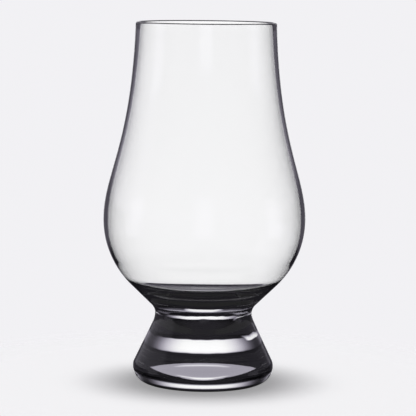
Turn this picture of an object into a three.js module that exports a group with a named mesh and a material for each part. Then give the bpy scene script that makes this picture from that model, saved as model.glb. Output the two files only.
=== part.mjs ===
// A short-footed tasting glass in clear crystal: a blown tulip bowl fused to a solid pressed foot.
// Millimetres, +Z up. The origin is on the axis, in the plane that the foot stands on.
import * as THREE from "three";

// Overall
const HEIGHT = 115;

// Bowl, outside
const RIM_RADIUS = 22.3;
const RIM_LEAN = THREE.MathUtils.degToRad(2);
const CHIMNEY_REACH = 39;
const SHOULDER_REACH = 14.4;
const BELLY_RADIUS = 32.15;
const BELLY_HEIGHT = 52.4;
const FLANK_LEAN = THREE.MathUtils.degToRad(46.1);

// Bowl, walls
const RIM_WALL = 1.3;
const CHIMNEY_WALL = 0.85;
const BELLY_WALL = 1.25;
const HEEL_WALL = 1.35;
const BOWL_BOTTOM = 6.7;

// Bowl, where the wall leaves the outside and rounds into a flat floor, with how far each tangent is held
const HEEL_ANGLE = THREE.MathUtils.degToRad(26.4);
const HEEL_SHARE = 0.91;
const FLOOR_SHARE = 0.86;

// Neck, where the bowl and the foot are fused
const NECK_RADIUS = 15.5;
const NECK_HEIGHT = 22.5;
const FILLET_ABOVE = 3.8;
const FILLET_BELOW = 7;

// Foot
const FOOT_RADIUS = 22.45;
const EDGE_RADIUS_BELOW = 5.4;
const EDGE_RADIUS_ABOVE = 4.15;
const CONTACT_RING_WIDTH = 3.4;
const PUNT_DEPTH = 2.95;

// Facets
const TURN_SEGMENTS = 64;
const LONG_CURVE_STEPS = 10;
const ARC_STEPS = 7;
const LIP_STEPS = 6;

const RIGHT_TURN = Math.PI / 2;
const HALF_TURN = Math.PI;

/** A crystal as clear as the eye can tell, polished all over. */
function clearCrystal() {
  return new THREE.MeshStandardMaterial({
    color: 0xeef2f2,
    roughness: 0.03,
    metalness: 0,
    transparent: true,
    opacity: 0.3,
  });
}

/** A circle in the half section, where x is the radius from the axis and y is the height. */
function circle(x, y, radius) {
  return { centre: new THREE.Vector2(x, y), radius };
}

/** A point of a circle, at an angle from the outward direction. */
function pointOn({ centre, radius }, angle) {
  const outward = new THREE.Vector2(Math.cos(angle), Math.sin(angle));
  return outward.multiplyScalar(radius).add(centre);
}

/** The arc of a circle between two angles, as evenly spaced points. */
function arcPoints({ centre, radius }, from, to, steps) {
  const clockwise = to < from;
  return new THREE.EllipseCurve(centre.x, centre.y, radius, radius, from, to, clockwise).getPoints(steps);
}

/** The normal's angle of a straight flank that leaves a bulging circle and rises to a hollow one. */
function flankAngle(bulge, hollow) {
  const across = hollow.centre.clone().sub(bulge.centre);
  return across.angle() - Math.acos((bulge.radius + hollow.radius) / across.length());
}

/** A soft bend from one point to another, whose end tangents meet at the corner. */
function bendPoints(from, corner, to) {
  return new THREE.QuadraticBezierCurve(from, corner, to).getPoints(LONG_CURVE_STEPS);
}

/** A curve from one point to another, with the points that its end tangents reach. */
function curvePoints(from, leave, arrive, to) {
  return new THREE.CubicBezierCurve(from, leave, arrive, to).getPoints(LONG_CURVE_STEPS);
}

/** The S-shaped side of the chimney, upwards from the belly, with a wall taken off its radius. */
function chimneyPoints({ belly = 0, middle = 0, rim = 0 }) {
  const lipHeight = HEIGHT - RIM_WALL / 2;
  return curvePoints(
    new THREE.Vector2(BELLY_RADIUS - belly, BELLY_HEIGHT),
    new THREE.Vector2(BELLY_RADIUS - belly, BELLY_HEIGHT + SHOULDER_REACH),
    new THREE.Vector2(
      RIM_RADIUS - middle + CHIMNEY_REACH * Math.sin(RIM_LEAN),
      lipHeight - CHIMNEY_REACH * Math.cos(RIM_LEAN),
    ),
    new THREE.Vector2(RIM_RADIUS - rim, lipHeight),
  );
}

/** A half section turned about the Z axis into one closed solid, without points that repeat. */
function turned(name, points) {
  const section = points.filter((point, i) => i === 0 || !point.equals(points[i - 1]));
  const geometry = new THREE.LatheGeometry(section, TURN_SEGMENTS).rotateX(RIGHT_TURN);
  const mesh = new THREE.Mesh(geometry, clearCrystal());
  mesh.name = name;
  return mesh;
}

const neckAbove = circle(NECK_RADIUS + FILLET_ABOVE, NECK_HEIGHT, FILLET_ABOVE);
const neckBelow = circle(NECK_RADIUS + FILLET_BELOW, NECK_HEIGHT, FILLET_BELOW);
const neckEdge = new THREE.Vector2(NECK_RADIUS, NECK_HEIGHT);
const neckCentre = new THREE.Vector2(0, NECK_HEIGHT);

/** The bowl: flat seat at the neck, up the outside, over the lip and down the thin wall to a flat floor. */
function makeBowl() {
  const flankFoot = pointOn(neckAbove, HALF_TURN - FLANK_LEAN);
  const cornerHeight = flankFoot.y + (BELLY_RADIUS - flankFoot.x) / Math.tan(FLANK_LEAN);
  const lowerRadius = (BELLY_HEIGHT - cornerHeight) / Math.tan(FLANK_LEAN / 2);
  const lowerBowl = circle(BELLY_RADIUS - lowerRadius, BELLY_HEIGHT, lowerRadius);
  const lip = circle(RIM_RADIUS - RIM_WALL / 2, HEIGHT - RIM_WALL / 2, RIM_WALL / 2);

  const downWall = new THREE.Vector2(-Math.sin(HEEL_ANGLE), -Math.cos(HEEL_ANGLE));
  const insideBelly = new THREE.Vector2(BELLY_RADIUS - BELLY_WALL, BELLY_HEIGHT);
  const heel = pointOn({ ...lowerBowl, radius: lowerRadius - HEEL_WALL }, -HEEL_ANGLE);
  const floorCentre = new THREE.Vector2(0, NECK_HEIGHT + BOWL_BOTTOM);
  const aboveHeel = heel.clone().addScaledVector(downWall, (insideBelly.x - heel.x) / downWall.x);
  const belowHeel = heel.clone().addScaledVector(downWall, HEEL_SHARE * (heel.y - floorCentre.y));
  const floorEdge = new THREE.Vector2(FLOOR_SHARE * heel.x, floorCentre.y);

  return turned("bowl", [
    neckCentre,
    neckEdge,
    ...arcPoints(neckAbove, HALF_TURN, HALF_TURN - FLANK_LEAN, ARC_STEPS),
    ...arcPoints(lowerBowl, -FLANK_LEAN, 0, LONG_CURVE_STEPS),
    ...chimneyPoints({}),
    ...arcPoints(lip, 0, HALF_TURN, LIP_STEPS),
    ...chimneyPoints({ belly: BELLY_WALL, middle: CHIMNEY_WALL, rim: RIM_WALL }).reverse(),
    ...bendPoints(insideBelly, aboveHeel, heel),
    ...curvePoints(heel, belowHeel, floorEdge, floorCentre),
  ]);
}

/** The foot: a domed hollow underneath, a flat ring to stand on, a round edge and a cone up to the neck. */
function makeFoot() {
  const edgeBelow = circle(FOOT_RADIUS - EDGE_RADIUS_BELOW, EDGE_RADIUS_BELOW, EDGE_RADIUS_BELOW);
  const edgeAbove = circle(FOOT_RADIUS - EDGE_RADIUS_ABOVE, EDGE_RADIUS_BELOW, EDGE_RADIUS_ABOVE);
  const flank = flankAngle(edgeAbove, neckBelow);
  const puntRadius = edgeBelow.centre.x - CONTACT_RING_WIDTH;
  const domeRadius = (puntRadius ** 2 + PUNT_DEPTH ** 2) / (2 * PUNT_DEPTH);
  const dome = circle(0, PUNT_DEPTH - domeRadius, domeRadius);
  const domeEdge = Math.acos(puntRadius / domeRadius);

  return turned("foot", [
    ...arcPoints(dome, RIGHT_TURN, domeEdge, ARC_STEPS),
    ...arcPoints(edgeBelow, -RIGHT_TURN, 0, ARC_STEPS),
    ...arcPoints(edgeAbove, 0, flank, ARC_STEPS),
    ...arcPoints(neckBelow, flank + HALF_TURN, HALF_TURN, ARC_STEPS),
    neckEdge,
    neckCentre,
  ]);
}

const glass = new THREE.Group();
glass.add(makeBowl(), makeFoot());

export default glass;
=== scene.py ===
"""Dresses a clear crystal tasting glass: a thin tulip bowl fused to a short, solid, hollow-bottomed foot.

Sizes inside the classes are millimetres, as on a maker's drawing, and angles are radians, apart from the
studio's panels, whose angles are degrees. Meshes, camera and floor are made in metres.
"""

import logging
import math
from collections.abc import Iterable
from dataclasses import dataclass, field
from enum import Enum
from functools import reduce
from typing import Any

import bpy
from mathutils import Matrix, Vector
from mathutils.geometry import interpolate_bezier


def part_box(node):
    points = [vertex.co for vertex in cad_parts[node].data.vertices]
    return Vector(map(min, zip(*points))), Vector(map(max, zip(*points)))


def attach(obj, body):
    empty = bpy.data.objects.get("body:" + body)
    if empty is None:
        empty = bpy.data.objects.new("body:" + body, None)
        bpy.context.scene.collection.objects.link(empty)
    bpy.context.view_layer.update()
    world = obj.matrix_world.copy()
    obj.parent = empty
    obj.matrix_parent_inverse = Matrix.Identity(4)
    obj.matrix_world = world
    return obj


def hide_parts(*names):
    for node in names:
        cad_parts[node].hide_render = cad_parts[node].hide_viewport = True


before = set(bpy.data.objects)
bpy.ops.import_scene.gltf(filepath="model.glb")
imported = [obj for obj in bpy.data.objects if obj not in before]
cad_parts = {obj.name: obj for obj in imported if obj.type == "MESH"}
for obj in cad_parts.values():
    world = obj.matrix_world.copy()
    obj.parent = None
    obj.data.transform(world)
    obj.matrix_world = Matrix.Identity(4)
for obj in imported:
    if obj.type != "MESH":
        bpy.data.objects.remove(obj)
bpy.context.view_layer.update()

LOG = logging.getLogger("tasting_glass")
MM = 0.001
TURN = 2 * math.pi
HALF = 0.5
STRAIGHT_UP = 90
DARK_GAP = 0.012
NEAR_SIDE = 0.35
CORNER_FADE = (0.972, 0.99)
IMAGE_SIDE_PX = 416
BODY = "root"

Socket = bpy.types.NodeSocket
Section = list[Vector]
Tint = tuple[float, float, float, float]
Step = tuple[float, float]
Levels = tuple[tuple[float, float], ...]


class Ray(Enum):
    """What a ray is doing when it meets the backdrop or the floor, by its Light Path output."""

    CAMERA = "Is Camera Ray"
    MIRRORED = "Is Glossy Ray"
    THROUGH_GLASS = "Is Transmission Ray"
    TIMES_MIRRORED = "Glossy Depth"


class Mixed(Enum):
    """What a Mix node mixes: its data type, and how the identifiers of its sockets end."""

    NUMBER = ("FLOAT", "Float")
    TINT = ("RGBA", "Color")


class TurnInput(Enum):
    """The named inputs of the tree that turns a half section into a solid."""

    FACETS = "Facets Round"
    WELD = "Weld Distance"
    CREASE = "Crease Angle"
    SEAM_HEIGHT = "Seam Height"
    WAVE_DEPTH = "Wave Depth"
    WAVE_LENGTH = "Wave Length"
    WAVE_REACH = "Wave Reach"
    WAVE_SEED = "Wave Seed"
    CRYSTAL = "Crystal"
    SEAM = "Fused Seam"


class NodeBench:
    """A node tree with short ways to add nodes, link them and do sums."""

    def __init__(self, tree: bpy.types.NodeTree) -> None:
        """Takes the tree that is worked on."""
        self.tree = tree

    def add(self, kind: str, **settings: Any) -> bpy.types.Node:
        """Adds one node.

        Args:
            kind: the node's type name.
            settings: its properties by name.

        Returns:
            The new node.
        """
        node = self.tree.nodes.new(kind)
        for name, value in settings.items():
            setattr(node, name, value)
        return node

    def feed(self, target: Socket, value: Any) -> None:
        """Links a socket to an input, or sets the input to a plain value.

        Args:
            target: the input.
            value: a socket or a plain value.
        """
        if isinstance(value, bpy.types.NodeSocket):
            self.tree.links.new(value, target)
        else:
            target.default_value = value

    def fill(self, targets: Iterable[Socket], values: Iterable[Any]) -> None:
        """Feeds several inputs in their order."""
        for target, value in zip(targets, values):
            self.feed(target, value)

    def math(self, operation: str, *values: Any) -> Socket:
        """Adds a Math node.

        Args:
            operation: the node's operation.
            values: sockets or numbers, in the order of its inputs.

        Returns:
            The socket with the result.
        """
        node = self.add("ShaderNodeMath", operation=operation)
        self.fill(node.inputs, values)
        return node.outputs[0]

    def chain(self, operation: str, values: Iterable[Any]) -> Socket:
        """Joins any number of sockets by one operation, one after another."""
        return reduce(lambda first, second: self.math(operation, first, second), values)

    def reach(self, x: Socket, y: Socket) -> Socket:
        """How far a point lies from the axis of the glass."""
        squares = [self.math("MULTIPLY", side, side) for side in (x, y)]
        return self.math("SQRT", self.math("ADD", *squares))

    def ease(self, value: Socket, step: Step, low: float = 0.0, high: float = 1.0) -> Socket:
        """Adds a smooth step.

        Args:
            value: the socket that is eased.
            step: where the step begins and where it ends.
            low: the result before the step.
            high: the result past it.

        Returns:
            The socket with the eased value.
        """
        node = self.add("ShaderNodeMapRange", interpolation_type="SMOOTHSTEP")
        self.fill(node.inputs, (value, *step, low, high))
        return node.outputs["Result"]

    def mix(self, share: Socket, first: Any, second: Any, kind: Mixed = Mixed.NUMBER) -> Socket:
        """Adds a Mix of two numbers or two tints.

        Args:
            share: how much of the second there is.
            first: a socket or a plain value.
            second: a socket or a plain value.
            kind: what is mixed.

        Returns:
            The socket with the mixture.
        """
        data_type, ending = kind.value
        node = self.add("ShaderNodeMix", data_type=data_type)
        sockets = {socket.identifier: socket for socket in (*node.inputs, *node.outputs)}
        self.feed(sockets["Factor_Float"], share)
        self.feed(sockets[f"A_{ending}"], first)
        self.feed(sockets[f"B_{ending}"], second)
        return sockets[f"Result_{ending}"]

    def parts(self, vector: Socket) -> list[Socket]:
        """Splits a vector.

        Args:
            vector: the socket with the vector.

        Returns:
            The sockets with its x, y and z.
        """
        node = self.add("ShaderNodeSeparateXYZ")
        self.feed(node.inputs[0], vector)
        return list(node.outputs)


@dataclass(frozen=True)
class Circle:
    """A circle of the half section: its centre's distance from the axis and height, and its radius."""

    out: float
    height: float
    radius: float

    def at(self, angle: float) -> Vector:
        """The point at an angle from the outward direction."""
        return Vector((self.out + self.radius * math.cos(angle), self.height + self.radius * math.sin(angle)))

    def arc(self, start: float, end: float, steps: int) -> Section:
        """Evenly spaced points from one angle to another."""
        return [self.at(start + (end - start) * i / steps) for i in range(steps + 1)]

    def flank_angle(self, hollow: "Circle") -> float:
        """Finds where a straight flank leaves this bulge to rise to a hollow.

        Args:
            hollow: the circle of the hollow that the flank runs into.

        Returns:
            The angle of the flank's outward normal.
        """
        out = hollow.out - self.out
        up = hollow.height - self.height
        return math.atan2(up, out) - math.acos((self.radius + hollow.radius) / math.hypot(out, up))


def curve(start: Vector, leave: Vector, arrive: Vector, end: Vector, steps: int) -> Section:
    """A cubic curve of the half section, from its ends and the points that its tangents reach."""
    return [point.copy() for point in interpolate_bezier(start, leave, arrive, end, steps + 1)]


def bend(start: Vector, corner: Vector, end: Vector, steps: int) -> Section:
    """A soft bend of the half section, whose end tangents meet at the corner."""
    tangent_share = 2 / 3
    return curve(start, start.lerp(corner, tangent_share), end.lerp(corner, tangent_share), end, steps)


def new_material(name: str) -> tuple[bpy.types.Material, NodeBench, bpy.types.Node]:
    """Makes a node material with the shader that every material starts with.

    Args:
        name: the material's name.

    Returns:
        The material, its bench and its Principled shader.
    """
    made = bpy.data.materials.new(name)
    made.use_nodes = True
    return made, NodeBench(made.node_tree), made.node_tree.nodes["Principled BSDF"]


def to_scene(name: str, data: bpy.types.ID) -> bpy.types.Object:
    """Makes an object and puts it in the scene.

    Args:
        name: the object's name.
        data: its mesh, lamp or lens.

    Returns:
        The new object.
    """
    made = bpy.data.objects.new(name, data)
    bpy.context.scene.collection.objects.link(made)
    return made


@dataclass(frozen=True)
class CrystalFinish:
    """Clear polished crystal: colourless, with faint waves in its skin and a bloom that barely shows."""

    name: str
    tint: Tint = (0.99, 0.99, 0.993, 1.0)
    refraction: float = 1.52
    clarity: float = 1.0
    polish_roughness: float = 0.0
    bloom_roughness: float = 0.012
    bloom_size: float = 9.0
    bloom_detail: float = 2.0
    bloom_step: Step = (0.45, 0.75)
    skin_wave_size: float = 14.0
    skin_wave_detail: float = 0.0
    skin_wave_depth: float = 0.02

    def material(self) -> bpy.types.Material:
        """Builds the finish as a node material.

        Returns:
            The new material.
        """
        made, bench, shader = new_material(self.name)
        shader.inputs["Base Color"].default_value = self.tint
        shader.inputs["IOR"].default_value = self.refraction
        shader.inputs["Transmission Weight"].default_value = self.clarity
        bloom = self._noise(bench, self.bloom_size, self.bloom_detail)
        haze = bench.ease(bloom, self.bloom_step, self.polish_roughness, self.bloom_roughness)
        bench.feed(shader.inputs["Roughness"], haze)
        skin = bench.add("ShaderNodeBump")
        skin.inputs["Distance"].default_value = self.skin_wave_depth * MM
        bench.feed(skin.inputs["Height"], self._noise(bench, self.skin_wave_size, self.skin_wave_detail))
        bench.feed(shader.inputs["Normal"], skin.outputs["Normal"])
        return made

    @staticmethod
    def _noise(bench: NodeBench, size: float, detail: float) -> Socket:
        """Adds a noise that is fixed to the piece.

        Args:
            bench: the material's bench.
            size: how large its patches are.
            detail: how many finer noises it carries.

        Returns:
            The socket with the noise.
        """
        noise = bench.add("ShaderNodeTexNoise")
        bench.feed(noise.inputs["Vector"], bench.add("ShaderNodeTexCoord").outputs["Object"])
        noise.inputs["Scale"].default_value = 1 / (size * MM)
        noise.inputs["Detail"].default_value = detail
        return noise.outputs["Fac"]


@dataclass(frozen=True)
class FusedSeam:
    """The hot-fused plane at the neck, where glass meets glass and light goes straight through."""

    name: str = "fused_seam"

    def material(self) -> bpy.types.Material:
        """Builds the seam as a material that lets light straight through.

        Returns:
            The new material.
        """
        made, bench, shader = new_material(self.name)
        bench.tree.nodes.remove(shader)
        clear = bench.add("ShaderNodeBsdfTransparent")
        bench.feed(bench.tree.nodes["Material Output"].inputs["Surface"], clear.outputs[0])
        return made


@dataclass
class TurningLathe:
    """Turns half sections into closed solids with one Geometry Nodes tree."""

    facets: int = 240
    weld: float = 0.0005
    crease: float = math.radians(15)
    wave_depth: float = 0.45
    wave_length: float = 5.0
    wave_reach: float = 7.0
    wave_seed: float = 8.0
    wave_detail: float = 1.0
    axis_guard: float = 1.0
    tree: bpy.types.NodeTree = field(init=False)

    def __post_init__(self) -> None:
        """Builds the tree once, for every piece that is turned."""
        self.tree = bpy.data.node_groups.new("turned_crystal", "GeometryNodeTree")
        self._sockets()
        self._nodes()

    def _sockets(self) -> None:
        side = self.tree.interface
        side.new_socket("Geometry", in_out="INPUT", socket_type="NodeSocketGeometry")
        side.new_socket("Geometry", in_out="OUTPUT", socket_type="NodeSocketGeometry")
        kinds = {
            TurnInput.FACETS: "NodeSocketInt",
            TurnInput.CRYSTAL: "NodeSocketMaterial",
            TurnInput.SEAM: "NodeSocketMaterial",
        }
        for name in TurnInput:
            side.new_socket(name.value, in_out="INPUT", socket_type=kinds.get(name, "NodeSocketFloat"))

    def _nodes(self) -> None:
        """Lays out the tree: a wrapped sheet gets its waves, its smooth and sharp edges and its crystal."""
        bench = NodeBench(self.tree)
        given = bench.add("NodeGroupInput").outputs
        ask = {name: given[name.value] for name in TurnInput}
        solid = self._wrap(bench, ask, given["Geometry"])
        smooth = bench.add("GeometryNodeSetShadeSmooth", domain="FACE")
        bench.feed(smooth.inputs["Geometry"], self._waves(bench, ask, solid))
        crease = bench.add("GeometryNodeSetShadeSmooth", domain="EDGE")
        bench.feed(crease.inputs["Geometry"], smooth.outputs["Geometry"])
        fold = bench.add("GeometryNodeInputMeshEdgeAngle").outputs["Unsigned Angle"]
        bench.feed(crease.inputs["Selection"], bench.math("GREATER_THAN", fold, ask[TurnInput.CREASE]))
        bench.feed(crease.inputs["Shade Smooth"], False)
        self._dress(bench, ask, crease.outputs["Geometry"])

    @staticmethod
    def _wrap(bench: NodeBench, ask: dict[TurnInput, Socket], section: Socket) -> Socket:
        """Wraps a sheet round the axis, so that each of its columns follows the section, and welds it shut.

        Args:
            bench: the tree's bench.
            ask: the tree's inputs.
            section: the half section, as a line of points.

        Returns:
            The welded solid.
        """
        count = bench.add("GeometryNodeAttributeDomainSize", component="MESH")
        bench.feed(count.inputs["Geometry"], section)
        rows = bench.math("ADD", ask[TurnInput.FACETS], 1.0)
        sheet = bench.add("GeometryNodeMeshGrid")
        bench.feed(sheet.inputs["Vertices X"], count.outputs["Point Count"])
        bench.feed(sheet.inputs["Vertices Y"], rows)
        index = bench.add("GeometryNodeInputIndex").outputs[0]
        # Half a step keeps the division clear of rounding.
        along = bench.math("FLOOR", bench.math("DIVIDE", bench.math("ADD", index, HALF), rows))
        around = bench.math("SUBTRACT", index, bench.math("MULTIPLY", along, rows))
        angle = bench.math("MULTIPLY", bench.math("DIVIDE", around, ask[TurnInput.FACETS]), -TURN)

        pick = bench.add("GeometryNodeSampleIndex", data_type="FLOAT_VECTOR", domain="POINT")
        bench.feed(pick.inputs["Geometry"], section)
        bench.feed(pick.inputs["Value"], bench.add("GeometryNodeInputPosition").outputs[0])
        bench.feed(pick.inputs["Index"], along)
        radius, _, height = bench.parts(pick.outputs["Value"])
        spun = bench.add("ShaderNodeCombineXYZ")
        bench.feed(spun.inputs["X"], bench.math("MULTIPLY", radius, bench.math("COSINE", angle)))
        bench.feed(spun.inputs["Y"], bench.math("MULTIPLY", radius, bench.math("SINE", angle)))
        bench.feed(spun.inputs["Z"], height)
        wrap = bench.add("GeometryNodeSetPosition")
        bench.feed(wrap.inputs["Geometry"], sheet.outputs["Mesh"])
        bench.feed(wrap.inputs["Position"], spun.outputs[0])
        weld = bench.add("GeometryNodeMergeByDistance")
        bench.feed(weld.inputs["Geometry"], wrap.outputs["Geometry"])
        bench.feed(weld.inputs["Distance"], ask[TurnInput.WELD])
        return weld.outputs["Geometry"]

    @staticmethod
    def _from_seam(bench: NodeBench, ask: dict[TurnInput, Socket], height: Socket) -> Socket:
        """How far a height is from the fused plane."""
        return bench.math("ABSOLUTE", bench.math("SUBTRACT", height, ask[TurnInput.SEAM_HEIGHT]))

    def _waves(self, bench: NodeBench, ask: dict[TurnInput, Socket], solid: Socket) -> Socket:
        """Adds the faint waves that fusing leaves in the glass round the neck.

        Args:
            bench: the tree's bench.
            ask: the tree's inputs.
            solid: the welded solid.

        Returns:
            The geometry with its waves.
        """
        place = bench.add("GeometryNodeInputPosition").outputs[0]
        x, y, z = bench.parts(place)
        noise = bench.add("ShaderNodeTexNoise", noise_dimensions="4D")
        bench.feed(noise.inputs["Vector"], place)
        bench.feed(noise.inputs["W"], ask[TurnInput.WAVE_SEED])
        bench.feed(noise.inputs["Scale"], bench.math("DIVIDE", 1.0, ask[TurnInput.WAVE_LENGTH]))
        noise.inputs["Detail"].default_value = self.wave_detail
        away = bench.math("DIVIDE", self._from_seam(bench, ask, z), ask[TurnInput.WAVE_REACH])
        near = bench.ease(away, (0.0, 1.0), low=1.0, high=0.0)
        swell = bench.math("SUBTRACT", noise.outputs["Fac"], HALF)
        depth = bench.chain("MULTIPLY", (swell, near, ask[TurnInput.WAVE_DEPTH]))
        out = bench.math("MAXIMUM", bench.reach(x, y), self.axis_guard * MM)
        push = bench.add("ShaderNodeCombineXYZ")
        bench.feed(push.inputs["X"], bench.math("MULTIPLY", bench.math("DIVIDE", x, out), depth))
        bench.feed(push.inputs["Y"], bench.math("MULTIPLY", bench.math("DIVIDE", y, out), depth))
        move = bench.add("GeometryNodeSetPosition")
        bench.feed(move.inputs["Geometry"], solid)
        bench.feed(move.inputs["Offset"], push.outputs[0])
        return move.outputs["Geometry"]

    def _dress(self, bench: NodeBench, ask: dict[TurnInput, Socket], solid: Socket) -> None:
        """Gives the solid its crystal, and the flat disc at the neck its seam.

        Args:
            bench: the tree's bench.
            ask: the tree's inputs.
            solid: the finished shape.
        """
        real = bench.add("GeometryNodeRealizeInstances")
        bench.feed(real.inputs["Geometry"], solid)
        crystal = bench.add("GeometryNodeSetMaterial")
        bench.feed(crystal.inputs["Geometry"], real.outputs["Geometry"])
        bench.feed(crystal.inputs["Material"], ask[TurnInput.CRYSTAL])
        _, _, height = bench.parts(bench.add("GeometryNodeInputPosition").outputs[0])
        flat = bench.math("LESS_THAN", self._from_seam(bench, ask, height), ask[TurnInput.WELD])
        seam = bench.add("GeometryNodeSetMaterial")
        bench.feed(seam.inputs["Geometry"], crystal.outputs["Geometry"])
        bench.feed(seam.inputs["Selection"], flat)
        bench.feed(seam.inputs["Material"], ask[TurnInput.SEAM])
        done = bench.add("NodeGroupOutput")
        bench.feed(done.inputs["Geometry"], seam.outputs["Geometry"])

    def turn(
        self, name: str, section: Section, seam_height: float, finish: CrystalFinish
    ) -> bpy.types.Object:
        """Turns one half section into a plain mesh object.

        Args:
            name: the piece's name.
            section: its half section in millimetres, from the axis out, round and back to the axis.
            seam_height: the height of the fused plane.
            finish: the crystal that it is made of.

        Returns:
            The finished object, at the origin.
        """
        points = [p for i, p in enumerate(section) if i == 0 or (p - section[i - 1]).length > self.weld]
        line = bpy.data.meshes.new(name + "_section")
        line.from_pydata(
            [(p.x * MM, 0.0, p.y * MM) for p in points],
            [(i, i + 1) for i in range(len(points) - 1)],
            [],
        )
        blank = to_scene(name + "_blank", line)
        modifier = blank.modifiers.new("turned", "NODES")
        modifier.node_group = self.tree
        values = {
            TurnInput.FACETS: self.facets,
            TurnInput.WELD: self.weld * MM,
            TurnInput.CREASE: self.crease,
            TurnInput.SEAM_HEIGHT: seam_height * MM,
            TurnInput.WAVE_DEPTH: self.wave_depth * MM,
            TurnInput.WAVE_LENGTH: self.wave_length * MM,
            TurnInput.WAVE_REACH: self.wave_reach * MM,
            TurnInput.WAVE_SEED: self.wave_seed,
            TurnInput.CRYSTAL: finish.material(),
            TurnInput.SEAM: FusedSeam().material(),
        }
        identifiers = {item.name: item.identifier for item in self.tree.interface.items_tree}
        for asked, value in values.items():
            modifier[identifiers[asked.value]] = value
        shape = blank.evaluated_get(bpy.context.evaluated_depsgraph_get())
        mesh = bpy.data.meshes.new_from_object(shape)
        mesh.name = name
        bpy.data.objects.remove(blank)
        return to_scene(name, mesh)


@dataclass(frozen=True)
class Neck:
    """The waist of the glass, where the bowl and the foot are fused."""

    height: float
    radius: float = 15.5
    fillet_above: float = 3.8
    fillet_below: float = 7.0

    @property
    def above(self) -> Circle:
        """The circle of the fillet that rises into the bowl."""
        return Circle(self.radius + self.fillet_above, self.height, self.fillet_above)

    @property
    def below(self) -> Circle:
        """The circle of the fillet that runs down into the foot."""
        return Circle(self.radius + self.fillet_below, self.height, self.fillet_below)

    @property
    def seam(self) -> Section:
        """The fused plane, from the axis to the waist."""
        return [Vector((0.0, self.height)), Vector((self.radius, self.height))]


@dataclass
class Bowl:
    """The blown tulip bowl: flank, round belly, S-shaped chimney, rounded rim, thin wall and flat floor.

    Its inner heel is a little thinner and rounder than the plain solid's, which keeps the lower belly clear.
    """

    neck: Neck
    height: float
    belly_radius: float
    belly_height: float = 52.4
    flank_lean: float = math.radians(46.1)
    rim_radius: float = 22.3
    rim_lean: float = math.radians(2)
    chimney_reach: float = 39.0
    shoulder_reach: float = 14.4
    rim_wall: float = 1.3
    chimney_wall: float = 0.85
    belly_wall: float = 1.25
    heel_wall: float = 1.1
    heel_angle: float = math.radians(26.4)
    heel_share: float = 0.78
    floor_share: float = 0.86
    bottom: float = 6.7
    arc_steps: int = 28
    curve_steps: int = 64
    lip_steps: int = 14

    @property
    def lip(self) -> Circle:
        """The half-round of the rim."""
        half = self.rim_wall / 2
        return Circle(self.rim_radius - half, self.height - half, half)

    def chimney(self, belly: float = 0.0, middle: float = 0.0, rim: float = 0.0) -> Section:
        """The side of the chimney, upwards from the belly.

        Args:
            belly: how much wall is taken off the radius at the belly.
            middle: how much is taken off half way up.
            rim: how much is taken off at the rim.

        Returns:
            The points of the curve.
        """
        start = Vector((self.belly_radius - belly, self.belly_height))
        end = Vector((self.rim_radius - rim, self.lip.height))
        lean = Vector((math.sin(self.rim_lean), -math.cos(self.rim_lean))) * self.chimney_reach
        arrive = Vector((self.rim_radius - middle, self.lip.height)) + lean
        return curve(start, start + Vector((0.0, self.shoulder_reach)), arrive, end, self.curve_steps)

    def section(self) -> Section:
        """The half section: up the outside from the neck to the rim, then down the inside to the floor.

        Returns:
            The points in order.
        """
        flank_foot = self.neck.above.at(math.pi - self.flank_lean)
        corner = flank_foot.y + (self.belly_radius - flank_foot.x) / math.tan(self.flank_lean)
        lower_radius = (self.belly_height - corner) / math.tan(self.flank_lean / 2)
        lower = Circle(self.belly_radius - lower_radius, self.belly_height, lower_radius)
        down = Vector((-math.sin(self.heel_angle), -math.cos(self.heel_angle)))
        belly = Vector((self.belly_radius - self.belly_wall, self.belly_height))
        heel = Circle(lower.out, lower.height, lower_radius - self.heel_wall).at(-self.heel_angle)
        floor = Vector((0.0, self.neck.height + self.bottom))
        above = heel + down * (belly.x - heel.x) / down.x
        below = heel + down * self.heel_share * (heel.y - floor.y)
        floor_edge = Vector((self.floor_share * heel.x, floor.y))
        return [
            *self.neck.seam,
            *self.neck.above.arc(math.pi, math.pi - self.flank_lean, self.arc_steps),
            *lower.arc(-self.flank_lean, 0.0, self.curve_steps),
            *self.chimney(),
            *self.lip.arc(0.0, math.pi, self.lip_steps),
            *reversed(self.chimney(self.belly_wall, self.chimney_wall, self.rim_wall)),
            *bend(belly, above, heel, self.curve_steps),
            *curve(heel, below, floor_edge, floor, self.curve_steps),
        ]

    def build(self, lathe: TurningLathe) -> bpy.types.Object:
        """Turns the bowl from its half section, in its crystal."""
        finish = CrystalFinish("bowl_crystal")
        return lathe.turn("crystal_bowl", self.section(), self.neck.height, finish)

    def dress(self, piece: bpy.types.Object) -> None:
        """Puts the turned bowl in place of its plain solid.

        Args:
            piece: the turned bowl.
        """
        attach(piece, BODY)
        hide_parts("bowl")


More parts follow.
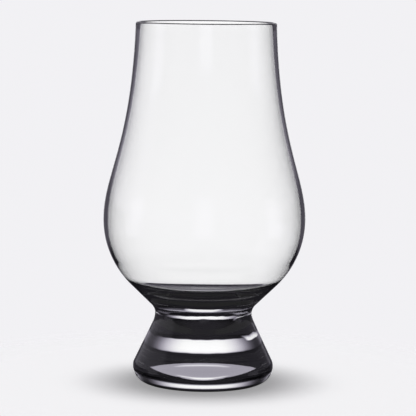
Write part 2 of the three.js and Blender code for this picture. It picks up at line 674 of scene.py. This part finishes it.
@dataclass
class Foot:
    """The solid pressed foot: a hollow underneath, a flat ring to stand on, a round edge and a cone."""

    neck: Neck
    radius: float
    edge_below: float = 5.4
    edge_above: float = 4.15
    ring_width: float = 3.4
    hollow_depth: float = 2.95
    arc_steps: int = 28

    def section(self) -> Section:
        """The half section, from the middle of the hollow out to the edge and up to the neck.

        Returns:
            The points in order.
        """
        lower = Circle(self.radius - self.edge_below, self.edge_below, self.edge_below)
        upper = Circle(self.radius - self.edge_above, self.edge_below, self.edge_above)
        flank = upper.flank_angle(self.neck.below)
        inner = lower.out - self.ring_width
        dome_radius = (inner**2 + self.hollow_depth**2) / (2 * self.hollow_depth)
        dome = Circle(0.0, self.hollow_depth - dome_radius, dome_radius)
        return [
            *dome.arc(math.pi / 2, math.acos(inner / dome_radius), self.arc_steps),
            *lower.arc(-math.pi / 2, 0.0, self.arc_steps),
            *upper.arc(0.0, flank, self.arc_steps),
            *self.neck.below.arc(flank + math.pi, math.pi, self.arc_steps),
            *reversed(self.neck.seam),
        ]

    def build(self, lathe: TurningLathe) -> bpy.types.Object:
        """Turns the foot from its half section, in its crystal."""
        finish = CrystalFinish("foot_crystal")
        return lathe.turn("crystal_foot", self.section(), self.neck.height, finish)

    def dress(self, piece: bpy.types.Object) -> None:
        """Puts the turned foot in place of its plain solid.

        Args:
            piece: the turned foot.
        """
        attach(piece, BODY)
        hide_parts("foot")


@dataclass(frozen=True)
class PhotoCamera:
    """A long lens a little above the rim, tilted slightly down to the glass."""

    distance: float = 699.0
    height: float = 133.3
    pitch: float = math.radians(6.31)
    roll: float = math.radians(0.6)
    focal_px: float = 2211.3
    axis_px: float = 204.5
    sensor: float = 36.0
    nearest: float = 10.0

    def place(self) -> bpy.types.Object:
        """Makes the scene's camera.

        Returns:
            The camera's object.
        """
        lens = bpy.data.cameras.new("photo_lens")
        lens.sensor_width = self.sensor
        lens.lens = self.sensor * self.focal_px / IMAGE_SIDE_PX
        lens.clip_start = self.nearest * MM
        camera = to_scene("photo_camera", lens)
        aside = (IMAGE_SIDE_PX / 2 - self.axis_px) / self.focal_px * self.distance
        camera.location = Vector((aside, -self.distance, self.height)) * MM
        tilt = Matrix.Rotation(math.pi / 2 - self.pitch, 3, "X") @ Matrix.Rotation(self.roll, 3, "Z")
        camera.rotation_euler = tilt.to_euler()
        bpy.context.scene.camera = camera
        return camera


@dataclass(frozen=True)
class Sector:
    """A stretch of the horizon, or several alike, with the cosines between which its sides fade in.

    A fade that starts below -1 leaves some light between one copy and the next.
    """

    fade: Step
    towards: float = 0.0
    copies: int = 1
    beside: float = 0.0

    def share(self, bench: NodeBench, azimuth: Socket) -> Socket:
        """Works out how much a direction belongs to the stretch.

        Args:
            bench: the world's bench.
            azimuth: the direction's angle round the glass.

        Returns:
            The socket with the share: 1 within the stretch, and less beside it.
        """
        turned = bench.math("MULTIPLY", azimuth, self.copies)
        off = bench.math("COSINE", bench.math("SUBTRACT", turned, math.radians(self.towards)))
        return bench.ease(off, self.fade, low=self.beside)


@dataclass(frozen=True)
class Panel:
    """A panel of the bright field: the stretches that it fills, and how bright it is by degrees of height."""

    sectors: tuple[Sector, ...]
    levels: Levels

    def brightness(self, bench: NodeBench, azimuth: Socket, height: Socket) -> Socket:
        """Works out how bright the panel is in a direction.

        Args:
            bench: the world's bench.
            azimuth: the direction's angle round the glass.
            height: its height, from 0 at the bottom to 1 at the top.

        Returns:
            The socket with the brightness.
        """
        shares = [sector.share(bench, azimuth) for sector in self.sectors]
        ramp = bench.add("ShaderNodeValToRGB")
        stops = ramp.color_ramp.elements
        for i, (angle, level) in enumerate(self.levels):
            spot = (angle + STRAIGHT_UP) / (2 * STRAIGHT_UP)
            # A new ramp has two stops already.
            stop = stops[i] if i < len(stops) else stops.new(spot)
            stop.position = spot
            stop.color = (level, level, level, 1.0)
        bench.feed(ramp.inputs["Fac"], height)
        return bench.chain("MULTIPLY", (*shares, ramp.outputs["Color"]))


@dataclass
class Studio:
    """A bright field for glass: pale panels with dark gaps all round, a pale floor and a soft top light."""

    backdrop: float = 0.89
    light_tint: Tint = (0.995, 0.996, 0.997, 1.0)
    dark_tint: Tint = (1.0, 0.93, 1.17, 1.0)
    upright: Panel = Panel(
        (Sector(fade=(-1.15, 0.9), copies=4),),
        (
            (-90, DARK_GAP), (-27, DARK_GAP), (-24, 1.0), (-8, 1.1),
            (-1, 1.06), (2, 0.95), (5, 0.4), (7, DARK_GAP),
        ),
    )
    far_corner: Panel = Panel(
        (Sector(fade=CORNER_FADE, towards=-45),),
        ((-90, 0.0), (-35, 0.0), (-29, 0.45), (-25, 0.9), (-20, 1.0), (-18.5, 0.0), (90, 0.0)),
    )
    near_corner: Panel = Panel(
        (Sector(fade=CORNER_FADE, towards=135),),
        ((-90, 0.0), (-28, 0.0), (-25, 1.0), (-8, 1.0), (-5, 0.0), (90, 0.0)),
    )
    mirrored_narrow: Panel = Panel(
        (Sector(fade=(0.5, 0.9), copies=4), Sector(fade=(0.5, 0.8), beside=NEAR_SIDE)),
        ((-90, 0.0), (-16, 0.0), (-13, 1.0), (4, 1.0), (8, 0.55), (13, 0.5), (15, 0.0)),
    )
    mirrored_broad: Panel = Panel(
        (Sector(fade=(0.25, 0.5), towards=-35, beside=NEAR_SIDE),),
        ((-90, DARK_GAP), (-14, DARK_GAP), (-11, 0.09), (0, 0.09), (3, 0.38), (44, 0.36), (50, DARK_GAP)),
    )
    lost_level: float = DARK_GAP
    soft_light: float = 0.04
    soft_light_step: Step = (-0.1, 0.7)
    top_light: float = 0.6
    top_light_spread: float = math.radians(26)
    floor_shade: Tint = (0.897, 0.894, 0.905, 1.0)
    floor_roughness: float = 0.7
    floor_gloss: float = 0.1
    # Painted light: the floor's emission for the camera, and a little for light that has met the glass,
    # lightening the glass's shadow.
    painted_floor_light: float = 0.38
    painted_light_through_glass: float = 0.02
    floor_drop: float = 0.02
    floor_fade: Step = (60.0, 110.0)
    floor_facets: int = 96
    glass_sees: Step = (23.5, 26.0)

    def light(self) -> None:
        """Sets up the backdrop, the panels and the soft light above."""
        world = bpy.data.worlds.new("bright_field")
        world.use_nodes = True
        bpy.context.scene.world = world
        world.node_tree.nodes.clear()
        bench = NodeBench(world.node_tree)
        level = self._level(bench)
        sky = bench.add("ShaderNodeBackground")
        bench.feed(sky.inputs["Color"], bench.mix(level, self.dark_tint, self.light_tint, Mixed.TINT))
        bench.feed(sky.inputs["Strength"], level)
        bench.feed(bench.add("ShaderNodeOutputWorld").inputs["Surface"], sky.outputs[0])

        lamp = bpy.data.lights.new("top_light", "SUN")
        lamp.energy = self.top_light * math.pi
        lamp.angle = self.top_light_spread
        sun = to_scene("top_light", lamp)
        sun.visible_glossy = False
        sun.visible_transmission = False

    def _level(self, bench: NodeBench) -> Socket:
        """Works out how bright the room is in a direction, for the camera, the glass and the floor.

        Light that the glass mirrored once sees the mirrored panels, and what it mirrored more often is lost.

        Args:
            bench: the world's bench.

        Returns:
            The socket with the brightness.
        """
        x, y, z = bench.parts(bench.add("ShaderNodeTexCoord").outputs["Generated"])
        azimuth = bench.math("ARCTAN2", x, y)
        height = bench.math("MULTIPLY_ADD", bench.math("ARCSINE", z), 1 / math.pi, HALF)
        direct_panels = (self.upright, self.far_corner, self.near_corner)
        mirrored_panels = (self.mirrored_narrow, self.mirrored_broad)
        direct, mirrored = (
            bench.chain("MAXIMUM", [panel.brightness(bench, azimuth, height) for panel in panels])
            for panels in (direct_panels, mirrored_panels)
        )
        path = bench.add("ShaderNodeLightPath").outputs
        times = path[Ray.TIMES_MIRRORED.value]
        once, twice = (bench.math("GREATER_THAN", times, count - HALF) for count in (1, 2))
        seen = bench.mix(twice, bench.mix(once, direct, mirrored), self.lost_level)
        by_glass = bench.math("MAXIMUM", path[Ray.MIRRORED.value], path[Ray.THROUGH_GLASS.value])
        soft = bench.ease(z, self.soft_light_step, high=self.soft_light)
        return bench.mix(path[Ray.CAMERA.value], bench.mix(by_glass, soft, seen), self.backdrop)

    def floor(self) -> bpy.types.Object:
        """Lays the pale floor, which thins out into the backdrop, sooner for light that has met the glass.

        Painted light of its own, an emission that stands in for light passing through the clear glass, keeps
        the shadow as light as a clear glass's, for the camera above all.

        Returns:
            The floor's object.
        """
        bpy.ops.mesh.primitive_circle_add(
            vertices=self.floor_facets,
            radius=self.floor_fade[1] * MM,
            fill_type="NGON",
            location=(0.0, 0.0, -self.floor_drop * MM),
        )
        floor = bpy.context.object
        floor.name = "pale_floor"
        made, bench, shader = new_material("pale_floor")
        shader.inputs["Base Color"].default_value = self.floor_shade
        shader.inputs["Roughness"].default_value = self.floor_roughness
        shader.inputs["Specular IOR Level"].default_value = self.floor_gloss
        shader.inputs["Emission Color"].default_value = self.floor_shade
        # Painted light: the floor emits its own shade, strongly to the camera and faintly to light through
        # the glass, so the shadow stays light.
        camera = bench.add("ShaderNodeLightPath").outputs[Ray.CAMERA.value]
        floor_light_painted = bench.mix(camera, self.painted_light_through_glass, self.painted_floor_light)
        bench.feed(shader.inputs["Emission Strength"], floor_light_painted)
        x, y, _ = bench.parts(bench.add("ShaderNodeTexCoord").outputs["Object"])
        out = bench.reach(x, y)
        by_glass, by_camera = (
            bench.ease(out, (start * MM, end * MM)) for start, end in (self.glass_sees, self.floor_fade)
        )
        mixer = bench.add("ShaderNodeMixShader")
        bench.feed(mixer.inputs["Fac"], bench.mix(camera, by_glass, by_camera))
        bench.feed(mixer.inputs[1], shader.outputs["BSDF"])
        bench.feed(mixer.inputs[2], bench.add("ShaderNodeBsdfTransparent").outputs[0])
        bench.feed(made.node_tree.nodes["Material Output"].inputs["Surface"], mixer.outputs[0])
        floor.data.materials.append(made)
        return floor


@dataclass(frozen=True)
class LightRules:
    """How light is shown and followed: plainly, and through as many walls as the glass has."""

    walls: int = 32
    mirrors: int = 16

    def apply(self) -> None:
        """Sets the scene's view transform and its limits for light."""
        scene = bpy.context.scene
        scene.view_settings.view_transform = "Standard"
        scene.cycles.max_bounces = self.walls
        scene.cycles.transmission_bounces = self.walls
        scene.cycles.glossy_bounces = self.mirrors
        scene.cycles.transparent_max_bounces = self.walls
        scene.cycles.caustics_refractive = False
        scene.cycles.caustics_reflective = False


def main() -> None:
    """Builds the glass piece by piece, then the studio round it."""
    logging.basicConfig(level=logging.INFO, format="%(name)s: %(message)s")
    bowl_low, bowl_high = (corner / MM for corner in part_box("bowl"))
    _, foot_high = (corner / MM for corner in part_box("foot"))
    neck = Neck(height=bowl_low.z)
    bowl = Bowl(neck, height=bowl_high.z, belly_radius=bowl_high.x)
    foot = Foot(neck, radius=foot_high.x)
    LightRules().apply()
    PhotoCamera().place()
    lathe = TurningLathe()
    for part in (bowl, foot):
        piece = part.build(lathe)
        part.dress(piece)
        LOG.info("%s: %d faces", piece.name, len(piece.data.polygons))
    studio = Studio()
    studio.light()
    studio.floor()


if __name__ == "__main__":
    main()
